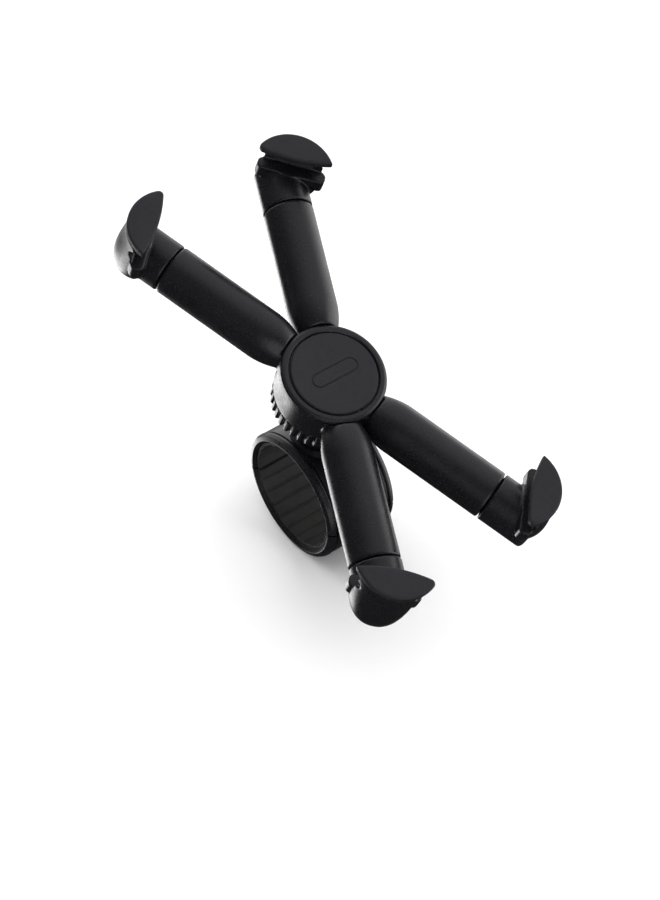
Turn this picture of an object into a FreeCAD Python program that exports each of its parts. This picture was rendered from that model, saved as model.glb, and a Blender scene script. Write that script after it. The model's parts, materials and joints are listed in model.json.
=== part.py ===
"""Four-claw phone holder on a ball joint, with a hinged handlebar clamp.

Millimetres.  Row frame: origin on the handlebar's axis in the middle of the clamp,
+X along the handlebar, +Z up through the clamp's saddle, -Y towards the rider.
The holder head is drawn in its own head frame (origin in the middle of the cap's
rim, +Y along the phone, +Z out of the phone's face) and is then tipped towards the
rider about the ball's centre by place_head().
"""
import FreeCAD
import Part
import math
import os

V = FreeCAD.Vector
X, Y, Z = V(1, 0, 0), V(0, 1, 0), V(0, 0, 1)
ORIGIN = V(0, 0, 0)

# ---- driving dimensions ----------------------------------------------------------
BAR_R = 17.25            # handlebar radius that the clamp closes on
LINER_T = 1.15           # rubber liner thickness
CLAMP_R = 21.2           # clamp outer radius
CLAMP_W = 25.0           # clamp width along the bar
SPLIT = 0.4              # half of the gap between the clamp's two jaws
REAR_SPLIT = -3.0        # height of the split on the hinge side
LUG_Y = 25.8             # clamp screw's distance from the bar's axis
HINGE_Y, HINGE_Z = 24.4, -6.2
HINGE_R, PIN_R = 3.0, 1.3

BALL_R = 7.0
BALL_Z = 36.0            # ball centre above the bar's axis
BALL_DEPTH = 15.5        # ball centre below the cap's rim
TILT = 23.0              # head tipped towards the rider

HUB_R = 15.6
HUB_BOTTOM = -12.4
CAP_R = 16.0
CAP_TOP = 1.1
DISC_R = 13.2
ARM_R = 7.7
ARM_BORE = 5.2
ARM_DROP = 4.8           # arm axis below the cap's rim
ARM_END = 57.5           # from the hub's centre to the arm's open end
ARM_SPREAD = 22.0        # each arm's angle from the phone's long axis
RING_R = 15.0            # knurled lock ring
RING_TOP, RING_BOTTOM = -12.7, -19.7
KNURLS = 36

SEAM = 0.4               # gap between an arm and its claw
STROKE = 16.0            # how far each claw pulls out
ROD_R = 2.2
GRIP_X, GRIP_Y = 67.25, -1.36   # middle of the lip's inner edge, seen along an arm
GRIP_TURN = -22.0        # the grip faces the phone's corner, not the arm
LIP_HALF = 11.1          # half of the lip's length
LIP_OUT, LIP_IN = 6.7, 2.3      # bulge of the lip's outer and inner edges
NOSE_HALF, NOSE_OUT = 10.4, 6.2  # bow that ends the claw's round collar
LIP_BOTTOM, LIP_TOP = 10.5, 12.7
REST_Z = 3.2             # height at which the phone's back rests
WALL_U = 2.3             # grip wall's inner face, outwards of the lip's middle
WING_HALF = 10.6         # half of the span of the claw's side wings

# The claw's outer wall is a shield that narrows from the lip down to a round chin:
# height, half width, outward bulge, inward bulge
SHIELD = [
    (LIP_BOTTOM, LIP_HALF - 0.5, LIP_OUT - 0.3, 1.5),
    (REST_Z, 10.3, 7.4, 2.0),
    (-4.0, 9.0, 8.2, 3.2),
    (-9.2, 6.6, 7.2, 4.2),
    (-12.2, 3.2, 4.4, 3.0),
]

FIT = 0.06               # running clearance, radial
TOUCH = 0.02             # clearance between pieces that are fixed together

# name, direction in the head frame, handedness of the claw
ARMS = [
    ("upper_right", 90 - ARM_SPREAD, 1),
    ("upper_left", 90 + ARM_SPREAD, -1),
    ("lower_left", 270 - ARM_SPREAD, 1),
    ("lower_right", 270 + ARM_SPREAD, -1),
]


# ---- small helpers ---------------------------------------------------------------
def rod(radius, length, base=ORIGIN, axis=Z):
    return Part.makeCylinder(radius, length, base, axis)


def tube(outer, inner, length, base=ORIGIN, axis=Z):
    body = rod(outer, length, base, axis)
    return body.cut(rod(inner, length + 2, base - axis, axis))


def block(low, high):
    size = high - low
    return Part.makeBox(size.x, size.y, size.z, low)


def ball(radius, centre):
    return Part.makeSphere(radius, centre)


def hexagon(flats, height, base, axis=Z):
    corner = flats / math.sqrt(3)
    points = []
    for k in range(7):
        angle = math.radians(60 * k)
        points.append(V(corner * math.cos(angle), corner * math.sin(angle), 0))
    prism = Part.Face(Part.makePolygon(points)).extrude(Z * height)
    prism.Placement = FreeCAD.Placement(base, FreeCAD.Rotation(Z, axis))
    return prism


def turned(points, axis=Z, base=ORIGIN):
    """Solid of revolution about Z from (radius, height) points, then laid along axis."""
    outline = [V(r, 0, h) for r, h in points]
    face = Part.Face(Part.makePolygon(outline + [outline[0]]))
    solid = face.revolve(ORIGIN, Z, 360)
    solid.Placement = FreeCAD.Placement(base, FreeCAD.Rotation(Z, axis))
    return solid


def softened(solid, radius, wanted):
    """Fillet the edges that wanted(edge) picks."""
    edges = [e for e in solid.Edges if wanted(e)]
    return solid.makeFillet(radius, edges)


def place_head(shape):
    """Head frame to row frame: tip about X through the ball's centre."""
    up = FreeCAD.Placement(V(0, 0, BALL_DEPTH), FreeCAD.Rotation())
    tip = FreeCAD.Placement(V(0, 0, BALL_Z), FreeCAD.Rotation(X, TILT))
    shape = shape.copy()
    shape.Placement = tip.multiply(up).multiply(shape.Placement)
    return shape


def place_arm(shape, angle, hand):
    """Arm frame (+X outwards) to row frame, mirrored for the left-handed claws."""
    shape = shape.copy()
    if hand < 0:
        shape = shape.mirror(ORIGIN, Y)
    turn = FreeCAD.Placement(ORIGIN, FreeCAD.Rotation(Z, angle))
    shape.Placement = turn.multiply(shape.Placement)
    return place_head(shape)


def save(name, shape):
    shape = shape.removeSplitter() if shape.ShapeType != "Compound" else shape
    assert shape.isValid(), name
    shape.exportStep("parts/" + name + ".step")


# ---- handlebar clamp -------------------------------------------------------------
SADDLE_R = BAR_R + LINER_T + TOUCH
BOSS_R, BOSS_TOP = 9.6, 22.6
LUG_HALF, LUG_T = 5.4, 5.4
SCREW_R, SCREW_HEAD_R, SCREW_HEAD_H = 2.0, 3.6, 4.0
HEAD_SINK = 1.4
NUT_FLATS, NUT_T = 7.0, 3.0
HALF_W = CLAMP_W / 2


def collar():
    """Full ring with rounded rims and a shallow groove near each side face."""
    rim, inset = 1.6, 0.9
    groove_x, groove_w, groove_d = 9.6, 0.6, 0.5
    step = SADDLE_R + inset
    half = [
        (SADDLE_R, 0),
        (CLAMP_R, 0),
        (CLAMP_R, groove_x),
        (CLAMP_R - groove_d, groove_x + 0.1),
        (CLAMP_R - groove_d, groove_x + groove_w),
        (CLAMP_R + 0.1, groove_x + groove_w + 0.1),
        (CLAMP_R + 0.1, HALF_W - rim),
        (CLAMP_R - 0.4, HALF_W - rim / 3),
        (step, HALF_W),
        (SADDLE_R, HALF_W - inset),
    ]
    right = turned(half, X)
    left = turned(half, V(-1, 0, 0))
    return right.fuse(left).removeSplitter()


def side_space(upper):
    """Space that one jaw and its liner may fill: the rear split lies lower."""
    reach, wide = CLAMP_R + 5, HALF_W + 1
    if upper:
        front = block(V(-wide, -reach, SPLIT), V(wide, 0, reach))
        rear = block(V(-wide, 0, REAR_SPLIT + SPLIT), V(wide, reach, reach))
    else:
        front = block(V(-wide, -reach, -reach), V(wide, 0, -SPLIT))
        rear = block(V(-wide, 0, -reach), V(wide, reach, REAR_SPLIT - SPLIT))
    return front.fuse(rear)


def lug(upper):
    """Screw lug on the rider's side, round at its end."""
    base_z = SPLIT if upper else -SPLIT - LUG_T
    end = rod(LUG_HALF, LUG_T, V(0, -LUG_Y, base_z))
    web = block(V(-LUG_HALF, -LUG_Y, base_z), V(LUG_HALF, -SADDLE_R - 0.8, base_z + LUG_T))
    return end.fuse(web)


def knuckle(x_low, x_high, upper):
    """Hinge barrel with the web that ties it to its own jaw."""
    barrel = rod(HINGE_R, x_high - x_low, V(x_low, HINGE_Y, HINGE_Z), X)
    clear = CLAMP_R + 0.5
    base = REAR_SPLIT + SPLIT
    if upper:
        drop = block(V(x_low, clear, HINGE_Z), V(x_high, HINGE_Y + 0.6, base + 2.4))
        tie = block(V(x_low, SADDLE_R + 1, base), V(x_high, clear + 0.1, base + 2.4))
        return barrel.fuse([drop, tie])
    return barrel.fuse(block(V(x_low, SADDLE_R - 1, -9.0), V(x_high, HINGE_Y, -4.2)))


BARREL_GAP = 0.3
MID_BARREL = 3.0         # half length of the lower jaw's barrel
HINGE_HALF = 7.2         # half length of the whole hinge


def clamp_upper():
    body = collar().common(side_space(True)).fuse([lug(True)])
    for side in (-1, 1):
        near, far = side * (MID_BARREL + BARREL_GAP), side * HINGE_HALF
        body = body.fuse(knuckle(min(near, far), max(near, far), True))
    boss = rod(BOSS_R, BOSS_TOP - SADDLE_R, V(0, 0, SADDLE_R))
    body = body.fuse(boss)
    body = body.cut(rod(SADDLE_R, CLAMP_W + 4, V(-HALF_W - 2, 0, 0), X))
    body = body.cut(rod(PIN_R + TOUCH, CLAMP_W + 2, V(-HALF_W - 1, HINGE_Y, HINGE_Z), X))
    body = body.cut(rod(SCREW_R + 0.2, 20, V(0, -LUG_Y, -5)))
    body = body.cut(rod(SCREW_HEAD_R + 0.3, 20, V(0, -LUG_Y, SPLIT + LUG_T - HEAD_SINK)))
    body = body.cut(rod(STUD_SCREW_R + 0.2, 12, V(0, 0, SADDLE_R - 1)))
    cone = [(0, 0), (STUD_HEAD_R + 0.3, 0), (STUD_SCREW_R, 2.4), (0, 2.4)]
    sink = turned(cone, Z, V(0, 0, SADDLE_R - 0.1))
    return body.cut(sink)


def clamp_lower():
    body = collar().common(side_space(False))
    body = body.fuse([lug(False), knuckle(-MID_BARREL, MID_BARREL, False)])
    body = body.cut(rod(SADDLE_R, CLAMP_W + 4, V(-HALF_W - 2, 0, 0), X))
    body = body.cut(rod(PIN_R + FIT, CLAMP_W + 2, V(-HALF_W - 1, HINGE_Y, HINGE_Z), X))
    body = body.cut(rod(SCREW_R + 0.5, 20, V(0, -LUG_Y, -15)))
    pocket = hexagon(NUT_FLATS + 0.1, NUT_T + 5, V(0, -LUG_Y, -SPLIT - LUG_T - 5))
    return body.cut(pocket)


def hinge_pin():
    length = 2 * HINGE_HALF
    pin = rod(PIN_R, length, V(-length / 2, HINGE_Y, HINGE_Z), X)
    head = rod(PIN_R + 0.8, 0.8, V(length / 2, HINGE_Y, HINGE_Z), X)
    upset = rod(PIN_R + 0.6, 0.6, V(-length / 2 - 0.6, HINGE_Y, HINGE_Z), X)
    return pin.fuse([head, upset])


def liner(upper):
    """Half of the rubber sleeve, with ribs that bite the bar's finish."""
    length = CLAMP_W - 2.4
    sleeve = tube(BAR_R + LINER_T, BAR_R, length, V(-length / 2, 0, 0), X)
    for k in range(24):
        angle = math.radians(15 * k + 7.5)
        centre = V(-length / 2 - 1, (BAR_R - 0.1) * math.cos(angle), (BAR_R - 0.1) * math.sin(angle))
        sleeve = sleeve.cut(rod(0.5, length + 2, centre, X))
    return sleeve.common(side_space(upper))


def clamp_screw():
    """Socket-head screw, drawn at its root diameter."""
    top = SPLIT + LUG_T - HEAD_SINK
    shank = rod(SCREW_R, top + SPLIT + LUG_T, V(0, -LUG_Y, -SPLIT - LUG_T))
    head = rod(SCREW_HEAD_R, SCREW_HEAD_H, V(0, -LUG_Y, top))
    head = softened(head, 0.4, lambda e: e.BoundBox.ZMin > top + SCREW_HEAD_H - 0.01)
    body = shank.fuse(head)
    return body.cut(hexagon(3.0, 3.0, V(0, -LUG_Y, top + SCREW_HEAD_H - 2.2)))


def clamp_nut():
    base = V(0, -LUG_Y, -SPLIT - LUG_T)
    nut = hexagon(NUT_FLATS, NUT_T - TOUCH, base)
    return nut.cut(rod(SCREW_R + 0.2, NUT_T + 2, base - Z))


# ---- ball stud and socket --------------------------------------------------------
STUD_SCREW_R, STUD_HEAD_R = 2.0, 3.9
NECK_R = 3.2
FLANGE_R, FLANGE_T = 8.4, 2.0
SEAT_R = BALL_R + 1.2    # outside of the nylon seats
SOCKET_R = SEAT_R + FIT
COLLET_R = 11.0
COLLET_BOTTOM = -18.6
BOSS_COLLET_R = 9.7
COLLET_TOP = -6.0
FLOOR_TOP = -9.6         # inside floor of the hub
BALL_C = V(0, 0, -BALL_DEPTH)   # ball centre in the head frame


def ball_stud():
    """Ball, neck and flange in one piece, bored for the screw that holds it down."""
    foot = BOSS_TOP
    profile = [
        (0, foot),
        (FLANGE_R, foot),
        (FLANGE_R, foot + FLANGE_T - 0.6),
        (FLANGE_R - 0.6, foot + FLANGE_T),
        (NECK_R + 1.4, foot + FLANGE_T),
        (NECK_R, foot + FLANGE_T + 1.6),
        (NECK_R, BALL_Z),
        (0, BALL_Z),
    ]
    body = turned(profile).fuse(ball(BALL_R, V(0, 0, BALL_Z)))
    return body.cut(rod(STUD_SCREW_R - 0.3, 12, V(0, 0, foot - 1)))


def stud_screw():
    """Countersunk screw from inside the saddle up into the ball stud."""
    top = SADDLE_R + 0.05
    cone = turned([(0, 0), (STUD_HEAD_R, 0), (STUD_SCREW_R - 0.32, 2.3), (0, 2.3)], Z, V(0, 0, top))
    shank = rod(STUD_SCREW_R - 0.32, 12.0, V(0, 0, top))
    return cone.fuse(shank).cut(hexagon(2.5, 2.0, V(0, 0, top - 0.5)))


def shell_zone(outer, inner, angle_low, angle_high):
    """Part of a hollow sphere about the ball, between two angles from straight up."""

    def at(radius, degrees):
        angle = math.radians(degrees)
        return V(radius * math.sin(angle), 0, radius * math.cos(angle))

    middle = (angle_low + angle_high) / 2
    edges = [
        Part.Arc(at(outer, angle_low), at(outer, middle), at(outer, angle_high)).toShape(),
        Part.makeLine(at(outer, angle_high), at(inner, angle_high)),
        Part.Arc(at(inner, angle_high), at(inner, middle), at(inner, angle_low)).toShape(),
        Part.makeLine(at(inner, angle_low), at(outer, angle_low)),
    ]
    shell = Part.Face(Part.Wire(edges)).revolve(ORIGIN, Z, 360)
    shell.translate(BALL_C)
    return shell


def seat_cup():
    """Nylon cup over the top of the ball."""
    return shell_zone(SEAT_R, BALL_R + FIT, 0, 80)


def seat_ring():
    """Nylon ring under the ball's widest part."""
    return shell_zone(SEAT_R, BALL_R + FIT, 100, 122)


def socket_collet():
    """Slotted socket that the lock ring squeezes; its boss turns in the hub's floor."""
    skirt = rod(COLLET_R, HUB_BOTTOM - 0.1 - COLLET_BOTTOM, V(0, 0, COLLET_BOTTOM))
    boss = rod(BOSS_COLLET_R, COLLET_TOP - HUB_BOTTOM + 1, V(0, 0, HUB_BOTTOM - 1))
    body = skirt.fuse(boss).cut(ball(SOCKET_R, BALL_C))
    mouth = turned([(0, 0), (0, -20), (20 * math.tan(math.radians(60)), -20)], Z, BALL_C)
    body = body.cut(mouth)
    for k in range(6):
        slot = block(V(0, -0.5, COLLET_BOTTOM - 1), V(COLLET_R + 1, 0.5, -BALL_DEPTH + 1.5))
        slot.rotate(ORIGIN, Z, 60 * k + 30)
        body = body.cut(slot)
    groove = tube(BOSS_COLLET_R + 1, BOSS_COLLET_R - 0.9, 1.1, V(0, 0, FLOOR_TOP + 0.1))
    return body.cut(groove)


def snap_ring():
    """C-shaped spring clip that keeps the collet in the hub's floor."""
    clip = tube(BOSS_COLLET_R + 0.8, BOSS_COLLET_R - 0.85, 0.9, V(0, 0, FLOOR_TOP + 0.2))
    return clip.cut(block(V(0, -1.6, FLOOR_TOP - 1), V(20, 1.6, FLOOR_TOP + 3)))


def lock_ring():
    """Knurled ring nut that tightens the ball joint."""
    bore = COLLET_R + FIT
    profile = [
        (bore, RING_TOP),
        (RING_R - 0.7, RING_TOP),
        (RING_R, RING_TOP - 0.7),
        (RING_R, RING_BOTTOM + 1.2),
        (RING_R - 1.2, RING_BOTTOM),
        (8.6, RING_BOTTOM),
        (9.0, COLLET_BOTTOM - 0.3),
        (bore, COLLET_BOTTOM - 0.3),
    ]
    body = turned(profile)
    notch_r, notch_at = 0.75, RING_R - 0.1
    notches = []
    for k in range(KNURLS):
        angle = math.radians(360 / KNURLS * k)
        centre = V(notch_at * math.cos(angle), notch_at * math.sin(angle), RING_BOTTOM - 1)
        notches.append(rod(notch_r, RING_TOP - RING_BOTTOM - 0.6, centre))
    return body.cut(notches)


# ---- hub, arms and cap -----------------------------------------------------------
NECK_ARM_R = 5.9         # arm's radius where it leaves the hub
NECK_END, SHOULDER = 15.5, 25.5
SCREW_CIRCLE, CAP_SCREW_R = 12.2, 1.2


def arm_outside():
    """Arm as a turned bar along X whose inner end tapers with a round shoulder."""
    blend = V(SHOULDER - 5.0, 0, ARM_R - 0.35)
    start, end = V(NECK_END, 0, NECK_ARM_R), V(SHOULDER, 0, ARM_R)
    lines = [
        Part.makeLine(V(4, 0, 0), V(4, 0, NECK_ARM_R - 0.4)),
        Part.makeLine(V(4, 0, NECK_ARM_R - 0.4), start),
        Part.Arc(start, blend, end).toShape(),
        Part.makeLine(end, V(ARM_END - 0.4, 0, ARM_R)),
        Part.makeLine(V(ARM_END - 0.4, 0, ARM_R), V(ARM_END, 0, ARM_R - 0.4)),
        Part.makeLine(V(ARM_END, 0, ARM_R - 0.4), V(ARM_END, 0, 0)),
        Part.makeLine(V(ARM_END, 0, 0), V(4, 0, 0)),
    ]
    bar = Part.Face(Part.Wire(lines)).revolve(ORIGIN, X, 360)
    bar.translate(V(0, 0, -ARM_DROP))
    return bar


def x_frame():
    """Hub and four hollow arms, moulded in one piece."""
    hub = rod(HUB_R, -HUB_BOTTOM - 1.0, V(0, 0, HUB_BOTTOM))
    hub = softened(hub, 1.2, lambda e: e.BoundBox.ZMax < HUB_BOTTOM + 0.01)
    body = hub
    for _, angle, _ in ARMS:
        arm = arm_outside()
        arm.rotate(ORIGIN, Z, angle)
        body = body.fuse(arm)
    body = body.cut(rod(HUB_R + 0.6, 20, V(0, 0, -1.0)))
    body = body.cut(rod(10.8, 20, V(0, 0, FLOOR_TOP)))
    body = body.cut(rod(BOSS_COLLET_R + FIT, 20, V(0, 0, HUB_BOTTOM - 5)))
    for _, angle, _ in ARMS:
        bore = rod(ARM_BORE, 60, V(21.5, 0, -ARM_DROP), X)
        bore.rotate(ORIGIN, Z, angle)
        body = body.cut(bore)
    for k in range(4):
        pilot = rod(CAP_SCREW_R, 7, V(SCREW_CIRCLE, 0, -6.9))
        pilot.rotate(ORIGIN, Z, 90 * k)
        body = body.cut(pilot)
    return body


def cap_ring():
    """Round bezel screwed onto the hub; the arms' necks run out against it."""
    profile = [
        (DISC_R + 0.35, -0.98),
        (CAP_R - 0.5, -0.98),
        (CAP_R, -0.5),
        (CAP_R, 0.1),
        (CAP_R - 0.35, 0.75),
        (CAP_R - 1.0, CAP_TOP),
        (DISC_R + 0.75, CAP_TOP),
        (DISC_R + 0.35, CAP_TOP - 0.4),
    ]
    return turned(profile)


def cap_plate():
    """Backing plate under the disc, with the screw holes."""
    plate = rod(DISC_R + 0.3, 1.3, V(0, 0, -0.98))
    for k in range(4):
        hole = rod(CAP_SCREW_R + 0.2, 5, V(SCREW_CIRCLE, 0, -3))
        hole.rotate(ORIGIN, Z, 90 * k)
        plate = plate.cut(hole)
    return plate


def cap_screws():
    screws = []
    for k in range(4):
        shank = rod(CAP_SCREW_R - TOUCH, 6.6, V(SCREW_CIRCLE, 0, -6.8))
        shank.rotate(ORIGIN, Z, 90 * k)
        screws.append(shank)
    return Part.makeCompound(screws)


def cap_disc():
    """Soft-touch inlay with a plain sunk pill outline in place of any mark."""
    bottom = 0.34
    disc = turned([(0, bottom), (DISC_R, bottom), (DISC_R, 0.85), (DISC_R - 0.35, 1.2), (0, 1.2)])
    half, radius, line = 5.6, 2.4, 0.5
    outer = pill(half, radius, 1.0)
    inner = pill(half, radius - line, 1.0)
    mark = outer.cut(inner)
    mark.translate(V(0, 0, 0.95))
    return disc.cut(mark)


def pill(half, radius, height):
    body = block(V(-half, -radius, 0), V(half, radius, height))
    return body.fuse([rod(radius, height, V(-half, 0, 0)), rod(radius, height, V(half, 0, 0))])


# ---- claws and their sprung rods (arm frame, +X outwards) ------------------------
BUSH_LONG = 5.5
BUSH_START = ARM_END - 0.3 - BUSH_LONG
ROD_FLAT = 1.75
HEAD_R, HEAD_T = 4.7, 2.6
SPRING_CLOSED = 8.5      # room left for the spring when its claw is pulled out
ROD_INNER = BUSH_START - SPRING_CLOSED - STROKE - HEAD_T - 0.6
ROD_OUTER = ARM_END + SEAM + 5.5
WIRE_R, COIL_R, COILS = 0.4, 3.4, 8
COLLAR_START = ARM_END + SEAM
AXIS_Z = -ARM_DROP


def grip(u, v, z=0.0):
    """Point in the arm frame from the grip's own outward (u) and sideways (v) axes."""
    turn = math.radians(GRIP_TURN)
    return V(
        GRIP_X + u * math.cos(turn) - v * math.sin(turn),
        GRIP_Y + u * math.sin(turn) + v * math.cos(turn),
        z,
    )


def grip_block(u_low, u_high, v_low, v_high, z_low, z_high):
    corners = [(u_low, v_low), (u_high, v_low), (u_high, v_high), (u_low, v_high), (u_low, v_low)]
    face = Part.Face(Part.makePolygon([grip(u, v, z_low) for u, v in corners]))
    return face.extrude(V(0, 0, z_high - z_low))


def leaf_wire(z, half, out, back):
    """Leaf outline: a full outer bow and a shallow inner bow meeting in two points."""
    left, right = grip(0, half, z), grip(0, -half, z)
    bow = Part.Arc(left, grip(out, 0, z), right).toShape()
    inner = Part.Arc(right, grip(-back, 0, z), left).toShape()
    return Part.Wire([bow, inner])


def bowed_collar():
    """Round collar that goes on past the grip and is cut off along a bow."""
    long_collar = rod(ARM_R, GRIP_X + 12 - COLLAR_START, V(COLLAR_START, 0, AXIS_Z), X)
    long_collar = softened(long_collar, 0.3, lambda e: e.BoundBox.XMax < COLLAR_START + 0.01)
    low = AXIS_Z - ARM_R - 1
    left, right = grip(0, NOSE_HALF, low), grip(0, -NOSE_HALF, low)
    bow = Part.Arc(left, grip(NOSE_OUT, 0, low), right).toShape()
    back = Part.makePolygon([right, grip(-20, -20, low), grip(-20, 20, low), left])
    kept = Part.Face(Part.Wire([bow] + back.Edges)).extrude(Z * (2 * ARM_R + 2))
    return long_collar.common(kept)


def claw_body():
    """Collar, shield-shaped outer wall with its chin, and two side wings in one moulding."""
    spigot = rod(ARM_R - 1.3, SEAM + 0.4, V(ARM_END + 0.1, 0, AXIS_Z), X)
    wall = Part.makeLoft([leaf_wire(*section) for section in SHIELD], True)
    wings = grip_block(-1.7, 2.3, -WING_HALF, WING_HALF, -1.6, REST_Z + 0.5)
    wings = softened(wings, 1.5, lambda e: abs(e.BoundBox.ZLength) > 1)
    body = bowed_collar().fuse([spigot, wall, wings])
    seat = grip_block(-30, WALL_U, -20, 20, REST_Z, LIP_BOTTOM + 1)
    body = body.cut(seat)
    for side in (-1, 1):
        notch = rod(1.7, 14, grip(-6, side * 9.6, 6.9), grip(1, 0) - grip(0, 0))
        open_side = grip_block(-6, 8, min(side * 9.6, side * 16), max(side * 9.6, side * 16), 5.2, 8.6)
        body = body.cut([notch, open_side])
    socket = rod(ROD_R + TOUCH, ROD_OUTER - ARM_END + 0.1, V(ARM_END, 0, AXIS_Z), X)
    body = body.cut(socket)
    pocket = grip_block(WALL_U - 1, WALL_U + 0.8, -6.0, 6.0, REST_Z + 0.6, LIP_BOTTOM + 1)
    return body.cut(pocket)


def claw_lip():
    """Soft leaf over the phone's corner, sharp at one tip and blunt towards the middle."""
    low = LIP_BOTTOM + TOUCH
    sharp, blunt = grip(-0.3, 0.3 - LIP_HALF, low), grip(-1.2, LIP_HALF + 1.2, low)
    bow = Part.Arc(blunt, grip(LIP_OUT, -0.6, low), sharp).toShape()
    inner = Part.Arc(sharp, grip(-LIP_IN, 0, low), blunt).toShape()
    body = Part.Face(Part.Wire([bow, inner])).extrude(Z * (LIP_TOP - low))
    body = softened(body, 1.4, lambda e: (e.CenterOfMass - blunt).Length < 2)
    rounded = softened(body, 0.7, lambda e: e.BoundBox.ZMin > LIP_TOP - 0.01)
    return rounded


def claw_pad():
    """Ribbed rubber pad let into the wall where the phone's edge bears."""
    pad = grip_block(WALL_U - 0.5, WALL_U + 0.75, -5.95, 5.95, REST_Z + 0.65, LIP_BOTTOM - 0.1)
    for k in range(4):
        z = REST_Z + 1.8 + 1.5 * k
        groove = rod(0.3, 20, grip(WALL_U - 0.6, -10, z), grip(0, 1) - grip(0, 0))
        pad = pad.cut(groove)
    return pad


def flatted(radius, flat, length, start):
    """Round bar with two flats, which keep the claw from turning."""
    bar = rod(radius, length, V(start, 0, AXIS_Z), X)
    low = V(start - 1, -radius - 1, AXIS_Z - flat)
    high = V(start + length + 1, radius + 1, AXIS_Z + flat)
    return bar.common(block(low, high))


def slide_rod():
    return flatted(ROD_R, ROD_FLAT, ROD_OUTER - ROD_INNER, ROD_INNER)


def arm_bush():
    """Guide bush in the arm's mouth; the rod slides through its flatted hole."""
    bush = rod(ARM_BORE - TOUCH, BUSH_LONG, V(BUSH_START, 0, AXIS_Z), X)
    return bush.cut(flatted(ROD_R + FIT, ROD_FLAT + FIT, BUSH_LONG + 4, BUSH_START - 2))


def rod_stop():
    """Collar on the rod's inner end that the spring pushes against."""
    stop = rod(HEAD_R, HEAD_T, V(ROD_INNER + 0.6, 0, AXIS_Z), X)
    return stop.cut(flatted(ROD_R + TOUCH, ROD_FLAT + TOUCH, HEAD_T + 4, ROD_INNER - 1.4))


def claw_spring():
    """Return spring between the rod's stop and the bush."""
    start = ROD_INNER + 0.6 + HEAD_T + WIRE_R + 0.1
    length = BUSH_START - start - WIRE_R - 0.1
    helix = Part.makeHelix(length / COILS, length, COIL_R)
    profile = Part.Wire(Part.makeCircle(WIRE_R, V(COIL_R, 0, 0), Y))
    coil = Part.Wire(helix.Edges).makePipeShell([profile], True, True)
    coil.Placement = FreeCAD.Placement(V(start, 0, AXIS_Z), FreeCAD.Rotation(Z, X))
    return coil


# ---- write every piece -----------------------------------------------------------
def main():
    os.makedirs("parts", exist_ok=True)
    fixed = {
        "clamp_upper": clamp_upper(),
        "clamp_lower": clamp_lower(),
        "hinge_pin": hinge_pin(),
        "liner_upper": liner(True),
        "liner_lower": liner(False),
        "clamp_screw": clamp_screw(),
        "clamp_nut": clamp_nut(),
        "ball_stud": ball_stud(),
        "stud_screw": stud_screw(),
    }
    head = {
        "seat_cup": seat_cup(),
        "seat_ring": seat_ring(),
        "socket_collet": socket_collet(),
        "snap_ring": snap_ring(),
        "lock_ring": lock_ring(),
        "x_frame": x_frame(),
        "cap_ring": cap_ring(),
        "cap_plate": cap_plate(),
        "cap_screws": cap_screws(),
        "cap_disc": cap_disc(),
    }
    per_arm = {
        "claw_body": claw_body(),
        "claw_lip": claw_lip(),
        "claw_pad": claw_pad(),
        "slide_rod": slide_rod(),
        "arm_bush": arm_bush(),
        "rod_stop": rod_stop(),
        "claw_spring": claw_spring(),
    }
    for name, shape in fixed.items():
        save(name, shape)
    for name, shape in head.items():
        save(name, place_head(shape))
    for piece, shape in per_arm.items():
        for corner, angle, hand in ARMS:
            save(piece + "_" + corner, place_arm(shape, angle, hand))


main()
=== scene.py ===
"""Looks of a four-claw phone holder on a ball joint with a round handlebar clamp.

Metres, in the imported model's frame: +X along the handlebar, +Z up through the clamp,
-Y towards the rider.  Places on the holder's head are worked out in millimetres in the
head frame (origin in the middle of the cap's rim, +Y along the phone, +Z out of its
face) and put in place by the matrix HEAD.
"""

import json
import math

import bmesh
import bpy
from mathutils import Matrix, Vector


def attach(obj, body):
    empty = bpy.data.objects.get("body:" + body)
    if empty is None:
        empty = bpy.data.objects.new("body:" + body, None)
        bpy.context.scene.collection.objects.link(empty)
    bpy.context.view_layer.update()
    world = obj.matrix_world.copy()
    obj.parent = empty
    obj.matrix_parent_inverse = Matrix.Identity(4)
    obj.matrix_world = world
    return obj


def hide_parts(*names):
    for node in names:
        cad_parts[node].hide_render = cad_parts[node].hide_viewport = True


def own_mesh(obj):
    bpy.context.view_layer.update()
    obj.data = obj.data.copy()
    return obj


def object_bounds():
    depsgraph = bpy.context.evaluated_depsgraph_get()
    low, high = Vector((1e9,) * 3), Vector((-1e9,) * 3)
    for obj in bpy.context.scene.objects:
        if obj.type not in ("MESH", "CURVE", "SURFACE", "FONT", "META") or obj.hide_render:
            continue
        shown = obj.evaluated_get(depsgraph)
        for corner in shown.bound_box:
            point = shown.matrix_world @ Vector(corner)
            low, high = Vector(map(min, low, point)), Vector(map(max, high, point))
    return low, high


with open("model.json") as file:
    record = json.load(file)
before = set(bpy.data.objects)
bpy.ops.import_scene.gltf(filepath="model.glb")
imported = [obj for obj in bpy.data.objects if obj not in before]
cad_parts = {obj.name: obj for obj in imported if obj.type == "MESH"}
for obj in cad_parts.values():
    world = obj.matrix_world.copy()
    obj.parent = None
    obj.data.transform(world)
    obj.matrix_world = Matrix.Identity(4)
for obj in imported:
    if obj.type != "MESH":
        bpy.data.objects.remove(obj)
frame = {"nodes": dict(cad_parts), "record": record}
cad_low, cad_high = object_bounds()
scene = bpy.context.scene
nodes = frame["nodes"]
record = frame["record"]

# ---- dimensions, in millimetres and degrees --------------------------------------
BALL_Z = 36.0               # the ball's centre above the clamp's axis
BALL_DEPTH = 15.5           # the ball's centre below the middle of the cap's rim
TILT = 23.0                 # the head's lean about the handlebar, as photographed
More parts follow.
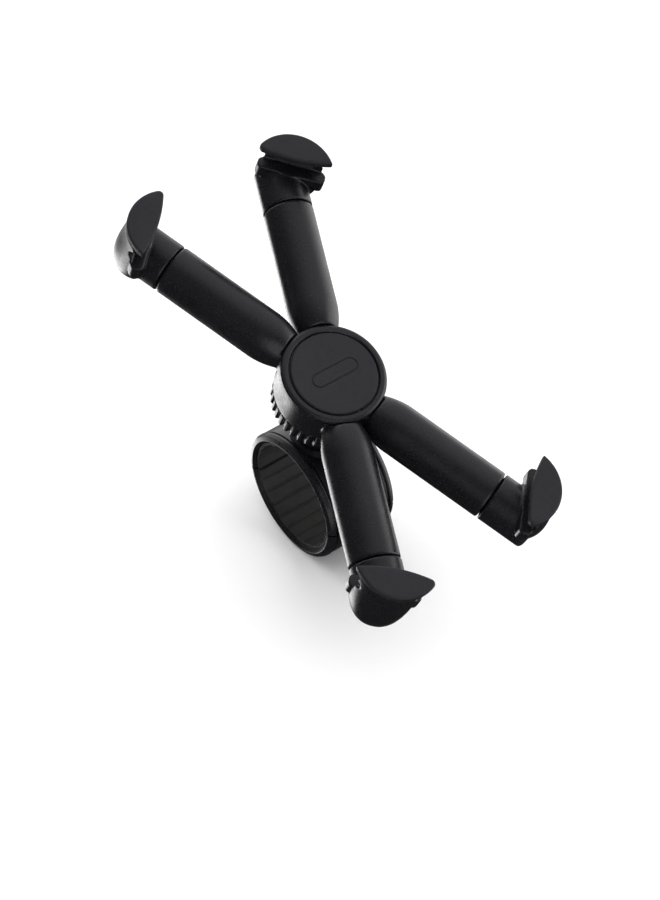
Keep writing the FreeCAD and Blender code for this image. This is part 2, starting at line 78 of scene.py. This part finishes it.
# the arms' directions about the head's +Z, from its +X
CORNERS = {"upper_right": 68, "upper_left": 112, "lower_left": 248, "lower_right": 292}

HEAD = (
    Matrix.Scale(0.001, 4)
    @ Matrix.Translation((0, 0, BALL_Z))
    @ Matrix.Rotation(math.radians(TILT), 4, "X")
    @ Matrix.Translation((0, 0, BALL_DEPTH))
)


# ---- materials -------------------------------------------------------------------
class Graph:
    """Small helper for building a node tree."""

    def __init__(self, tree):
        self.tree = tree
        self.tree.nodes.clear()
        self.place = self.node("ShaderNodeTexCoord").outputs["Object"]

    def node(self, kind, **sockets):
        made = self.tree.nodes.new(kind)
        for name, value in sockets.items():
            self.feed(made.inputs[name.replace("_", " ")], value)
        return made

    def feed(self, socket, value):
        """Link the socket to another node's output, or set it to a plain value."""
        if isinstance(value, bpy.types.NodeSocket):
            self.tree.links.new(value, socket)
        else:
            socket.default_value = value

    def noise(self, scale, detail, rough, warp=0.0, where=None):
        made = self.node("ShaderNodeTexNoise", Scale=scale, Detail=detail)
        made.inputs["Roughness"].default_value = rough
        made.inputs["Distortion"].default_value = warp
        self.feed(made.inputs["Vector"], where or self.place)
        return made.outputs["Fac"]

    def cells(self, scale):
        made = self.node("ShaderNodeTexVoronoi", Scale=scale)
        self.feed(made.inputs["Vector"], self.place)
        return made.outputs["Distance"]

    def spread(self, value, low, high, start=0.0, end=1.0):
        """The value's range low to high stretched to start to end, and clamped."""
        made = self.node("ShaderNodeMapRange")
        made.clamp = True
        self.feed(made.inputs["Value"], value)
        self.feed(made.inputs["From Min"], low)
        self.feed(made.inputs["From Max"], high)
        self.feed(made.inputs["To Min"], start)
        self.feed(made.inputs["To Max"], end)
        return made.outputs["Result"]

    def blend(self, amount, first, second):
        """Mix of two colours; a plain colour is a tuple of red, green and blue."""
        made = self.node("ShaderNodeMix")
        made.data_type = "RGBA"
        factor, colour_a, colour_b, result = 0, 6, 7, 2
        self.feed(made.inputs[factor], amount)
        for index, value in ((colour_a, first), (colour_b, second)):
            if isinstance(value, tuple):
                value = (*value, 1.0)
            self.feed(made.inputs[index], value)
        return made.outputs[result]

    def math(self, what, first, second):
        made = self.node("ShaderNodeMath")
        made.operation = what
        self.feed(made.inputs[0], first)
        self.feed(made.inputs[1], second)
        return made.outputs[0]

    def bump(self, height, depth, strength, under=None):
        made = self.node("ShaderNodeBump", Height=height, Distance=depth, Strength=strength)
        if under is not None:
            self.feed(made.inputs["Normal"], under)
        return made.outputs["Normal"]

    def rounded(self, radius):
        """Shading normal that rounds the edges over."""
        made = self.node("ShaderNodeBevel", Radius=radius)
        made.samples = 6
        return made.outputs["Normal"]

    def surface(self, **sockets):
        shader = self.node("ShaderNodeBsdfPrincipled")
        for name, value in sockets.items():
            self.feed(shader.inputs[name.replace("_", " ")], value)
        out = self.node("ShaderNodeOutputMaterial")
        self.tree.links.new(shader.outputs[0], out.inputs["Surface"])


def new_material(name):
    """An empty material and the graph of its nodes."""
    material = bpy.data.materials.new(name)
    material.use_nodes = True
    return material, Graph(material.node_tree)


def moulded(name, dark, light, rough, shine=0.5, grain=0.00002, grain_scale=2600.0):
    """Moulded plastic: spark-eroded grain, faint flow marks, rubbed patches."""
    material, g = new_material(name)
    flow = g.noise(38.0, 3.0, 0.6, warp=0.4)
    patch = g.noise(160.0, 4.0, 0.65)
    fine = g.noise(grain_scale, 2.0, 0.6)
    pits = g.cells(grain_scale * 0.55)
    paler = tuple(1.35 * c for c in light)
    tone = g.blend(g.spread(flow, 0.32, 0.68), dark, light)
    tone = g.blend(g.spread(fine, 0.3, 0.7, 0.0, 0.35), tone, paler)
    speck = g.spread(pits, 0.05, 0.55, 0.72, 1.08)
    rough_patch = g.spread(patch, 0.3, 0.7, rough - 0.05, rough + 0.06)
    rough_all = g.math("MULTIPLY", rough_patch, speck)
    height = g.math("ADD", g.math("MULTIPLY", fine, 0.7), g.math("MULTIPLY", pits, 0.5))
    normal = g.bump(height, grain, 0.55, g.rounded(0.0003))
    normal = g.bump(flow, 0.00006, 0.25, normal)
    g.surface(
        Base_Color=tone, Roughness=rough_all, Normal=normal, IOR=1.5, Specular_IOR_Level=shine
    )
    return material


def rubber_material():
    """Dull rubber with a little dust in its pores."""
    material, g = new_material("rubber")
    dust = g.noise(220.0, 5.0, 0.7)
    fine = g.noise(3200.0, 2.0, 0.6)
    tone = g.blend(g.spread(dust, 0.35, 0.75), (0.010, 0.010, 0.010), (0.028, 0.027, 0.026))
    normal = g.bump(fine, 0.00003, 0.6, g.rounded(0.0002))
    rough = g.spread(dust, 0.3, 0.7, 0.62, 0.82)
    g.surface(Base_Color=tone, Roughness=rough, Normal=normal, IOR=1.52)
    return material


def steel_material(name, dark, light, rough, brushed):
    """Metal with a fine drawn or turned grain and cloudy patches."""
    material, g = new_material(name)
    stretch = g.node("ShaderNodeMapping")
    g.feed(stretch.inputs["Vector"], g.place)
    stretch.inputs["Scale"].default_value = brushed
    lines = g.noise(900.0, 3.0, 0.7, where=stretch.outputs[0])
    cloud = g.noise(130.0, 3.0, 0.6)
    tone = g.blend(g.spread(cloud, 0.3, 0.7), dark, light)
    rough_lines = g.spread(lines, 0.3, 0.7, rough - 0.07, rough + 0.09)
    normal = g.bump(lines, 0.000012, 0.5, g.rounded(0.00015))
    g.surface(Base_Color=tone, Roughness=rough_lines, Normal=normal, Metallic=1.0)
    return material


FINISH = {
    "moulded_black": moulded(
        "moulded_black", (0.0042, 0.0041, 0.0058), (0.0070, 0.0068, 0.0092), rough=0.31
    ),
    "soft_touch": moulded(
        "soft_touch", (0.0086, 0.0083, 0.0108), (0.0135, 0.0130, 0.0165), rough=0.56,
        shine=0.35, grain=0.00003, grain_scale=3400.0
    ),
    "nylon": moulded("nylon", (0.58, 0.57, 0.53), (0.68, 0.67, 0.63), rough=0.42),
    "rubber": rubber_material(),
    "steel": steel_material(
        "steel", (0.50, 0.50, 0.51), (0.64, 0.64, 0.65), rough=0.30, brushed=(1.0, 1.0, 8.0)
    ),
    "spring_steel": steel_material(
        "spring_steel", (0.42, 0.42, 0.44), (0.55, 0.55, 0.57), rough=0.26,
        brushed=(6.0, 6.0, 1.0)
    ),
    "black_steel": steel_material(
        "black_steel", (0.030, 0.030, 0.032), (0.052, 0.052, 0.055), rough=0.36,
        brushed=(1.0, 1.0, 6.0)
    ),
}

slot_of = {part["node"]: part["material_slot"] for part in record["subparts"]}
body_of = {n: body for body, members in record["behaviour"]["bodies"].items() for n in members}

for name, slot in slot_of.items():
    for place in nodes[name].material_slots:
        place.material = FINISH[slot]


# ---- pieces shown instead of their CAD nodes -------------------------------------
def stand_in(obj, node):
    """obj rides where the CAD node rides, takes its finish and is shown instead of it."""
    scene.collection.objects.link(obj)
    obj.data.materials.clear()
    obj.data.materials.append(FINISH[slot_of[node]])
    obj.data.shade_smooth()
    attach(obj, body_of[node])
    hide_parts(node)


def moulded_copy(node, cell, rounds):
    """The node's shape as one moulding: edges rounded over, inner corners filled.

    cell is the size of the new mesh's squares, and rounds how often it is smoothed.
    """
    rough_out = bpy.data.objects.new("rough_out", nodes[node].data.copy())
    scene.collection.objects.link(rough_out)
    skin = rough_out.modifiers.new("skin", "REMESH")
    skin.mode, skin.voxel_size = "VOXEL", cell
    ease = rough_out.modifiers.new("ease", "SMOOTH")
    ease.factor, ease.iterations = 0.5, rounds
    graph = bpy.context.evaluated_depsgraph_get()
    mesh = bpy.data.meshes.new_from_object(rough_out.evaluated_get(graph))
    bpy.data.objects.remove(rough_out)
    stand_in(bpy.data.objects.new("soft_" + node, mesh), node)


def return_spring(corner):
    """The CAD's return spring, copied as it is and shown instead of its node; the real spring
    closes up against its guide bush as the claw is pulled out.
    """
    node = "claw_spring_" + corner
    obj = bpy.data.objects.new("coil_" + corner, nodes[node].data.copy())
    stand_in(obj, node)
    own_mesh(obj)


def lock_ring():
    """Ring nut with rounded notches all round, turned finer than the CAD's."""
    notches, steps = 36, 20
    notch_depth, notch_half, notch_flat = 0.95, 0.25, 6
    # radius and height of the turned outline, and how much of the notch's depth it gets:
    # top face, rounded shoulder, knurled side, lower shoulder, underside, bore
    profile = [
        (11.06, -12.72, 0.0), (13.4, -12.70, 0.0), (14.2, -12.74, 0.0), (14.65, -12.92, 0.1),
        (14.92, -13.25, 0.5), (15.0, -13.7, 1.0), (15.0, -14.8, 1.0), (15.0, -16.2, 1.0),
        (15.0, -17.5, 1.0), (14.97, -18.3, 1.0), (14.8, -18.8, 1.0), (14.4, -19.3, 0.9),
        (13.9, -19.62, 0.5), (13.2, -19.70, 0.0), (11.6, -19.70, 0.0), (9.4, -19.68, 0.0),
        (8.66, -19.6, 0.0), (8.7, -19.3, 0.0), (9.0, -18.95, 0.0), (11.06, -18.88, 0.0),
    ]
    sheet = bmesh.new()
    rows = []
    for k in range(notches * steps):
        phase = (k % steps) / steps
        dip = notch_depth * math.exp(-(((phase - 0.5) / notch_half) ** notch_flat))
        angle = 2 * math.pi * k / (notches * steps)
        row = []
        for radius, height, share in profile:
            r = radius - dip * share
            at = Vector((r * math.cos(angle), r * math.sin(angle), height))
            row.append(sheet.verts.new(HEAD @ at))
        rows.append(row)
    for k, row in enumerate(rows):
        after = rows[(k + 1) % len(rows)]
        for i in range(len(profile)):
            j = (i + 1) % len(profile)
            sheet.faces.new((row[i], row[j], after[j], after[i]))
    bmesh.ops.recalc_face_normals(sheet, faces=sheet.faces)
    mesh = bpy.data.meshes.new("knurled_ring")
    sheet.to_mesh(mesh)
    sheet.free()
    stand_in(bpy.data.objects.new("knurled_ring", mesh), "lock_ring")


for corner, angle in CORNERS.items():
    moulded_copy("claw_body_" + corner, cell=0.00026, rounds=5)
    moulded_copy("claw_lip_" + corner, cell=0.00018, rounds=6)
    return_spring(corner)
moulded_copy("x_frame", cell=0.00036, rounds=4)
lock_ring()


# ---- floor, light and camera -----------------------------------------------------
def floor_material():
    """White paper, a little uneven."""
    material, g = new_material("floor_paper")
    wide = g.noise(5.0, 3.0, 0.5)
    fibre = g.noise(900.0, 3.0, 0.6)
    tone = g.blend(g.spread(wide, 0.3, 0.7), (0.86, 0.86, 0.865), (0.89, 0.89, 0.89))
    g.surface(Base_Color=tone, Roughness=0.8, Normal=g.bump(fibre, 0.00004, 0.3))
    return material


def make_floor():
    """Round sheet of studio paper, level under the object and curving up far away."""
    rings, steps = 40, 96
    level_to, reach, curve = 2.5, 6.5, 5.0
    sheet = bmesh.new()
    centre = sheet.verts.new((0, 0, cad_low.z))
    previous = None
    for i in range(1, rings + 1):
        radius = reach * i / rings
        height = cad_low.z + max(0.0, radius - level_to) ** 2 / curve
        ring = []
        for k in range(steps):
            angle = 2 * math.pi * k / steps
            at = (radius * math.cos(angle), radius * math.sin(angle), height)
            ring.append(sheet.verts.new(at))
        for k in range(steps):
            after = (k + 1) % steps
            if previous is None:
                sheet.faces.new((centre, ring[k], ring[after]))
            else:
                sheet.faces.new((previous[k], ring[k], ring[after], previous[after]))
        previous = ring
    mesh = bpy.data.meshes.new("floor")
    sheet.to_mesh(mesh)
    sheet.free()
    mesh.shade_smooth()
    floor = bpy.data.objects.new("floor", mesh)
    floor.visible_glossy = False
    scene.collection.objects.link(floor)
    mesh.materials.append(floor_material())


def screen(g, direction, strength, start, full):
    """Soft bright patch of the studio round one direction.

    start and full are the cosines of the angles where it starts and where it is full.
    """
    toward = g.node("ShaderNodeVectorMath")
    toward.operation = "DOT_PRODUCT"
    g.feed(toward.inputs[0], g.place)
    toward.inputs[1].default_value = Vector(direction).normalized()
    glow = g.node("ShaderNodeMapRange")
    glow.interpolation_type = "SMOOTHSTEP"
    g.feed(glow.inputs["Value"], toward.outputs["Value"])
    glow.inputs["From Min"].default_value = start
    glow.inputs["From Max"].default_value = full
    glow.inputs["To Min"].default_value = 0.0
    glow.inputs["To Max"].default_value = strength
    return glow.outputs["Result"]


def make_light():
    """Soft overhead light, and a dim studio with bright screens all round."""
    world = bpy.data.worlds.new("studio")
    world.use_nodes = True
    g = Graph(world.node_tree)
    g.place = g.node("ShaderNodeTexCoord").outputs["Generated"]
    right = screen(g, (0.865, -0.50, -0.05), 2.2, 0.72, 0.97)
    above = screen(g, (0.75, 0.35, 0.56), 0.8, 0.0, 1.0)
    rear_right = screen(g, (0.90, 0.30, -0.30), 1.1, 0.88, 0.97)
    behind = screen(g, (0.20, 0.95, 0.20), 1.3, 0.75, 0.97)
    front = screen(g, (-0.35, -0.93, 0.10), 1.3, 0.75, 0.97)
    # low cuts the left screen off where it is less than 30 degrees below the horizon
    left = screen(g, (-0.25, 0.85, -0.46), 5.8, 0.85, 0.92)
    low = screen(g, (0, 0, -1), 1.0, 0.48, 0.60)
    total = g.math("ADD", g.math("ADD", right, above), g.math("MULTIPLY", left, low))
    total = g.math("ADD", g.math("ADD", total, rear_right), g.math("ADD", behind, front))
    dim_walls = 0.05
    total = g.math("ADD", total, dim_walls)
    studio = g.node("ShaderNodeBackground", Strength=total)
    out = g.node("ShaderNodeOutputWorld")
    g.tree.links.new(studio.outputs[0], out.inputs["Surface"])
    scene.world = world

    sky = bpy.data.lights.new("overhead", "SUN")
    sky.energy, sky.angle = 3.4, math.radians(110)
    lamp = bpy.data.objects.new("overhead", sky)
    lamp.rotation_euler = (math.radians(-12), math.radians(14), 0)
    lamp.visible_glossy = False
    scene.collection.objects.link(lamp)


def make_camera():
    """Camera at the photograph's viewing angle."""
    camera = bpy.data.cameras.new("camera")
    camera.lens, camera.sensor_width = 77.32, 36.0
    camera.shift_y = -0.01
    camera.clip_start, camera.clip_end = 0.01, 50.0
    eye = bpy.data.objects.new("camera", camera)
    eye.location = (-0.24670, -0.32424, 0.44236)
    eye.rotation_euler = [math.radians(a) for a in (43.787, -0.203, -37.428)]
    scene.collection.objects.link(eye)
    scene.camera = eye


make_floor()
make_light()
make_camera()
scene.view_settings.view_transform = "Standard"
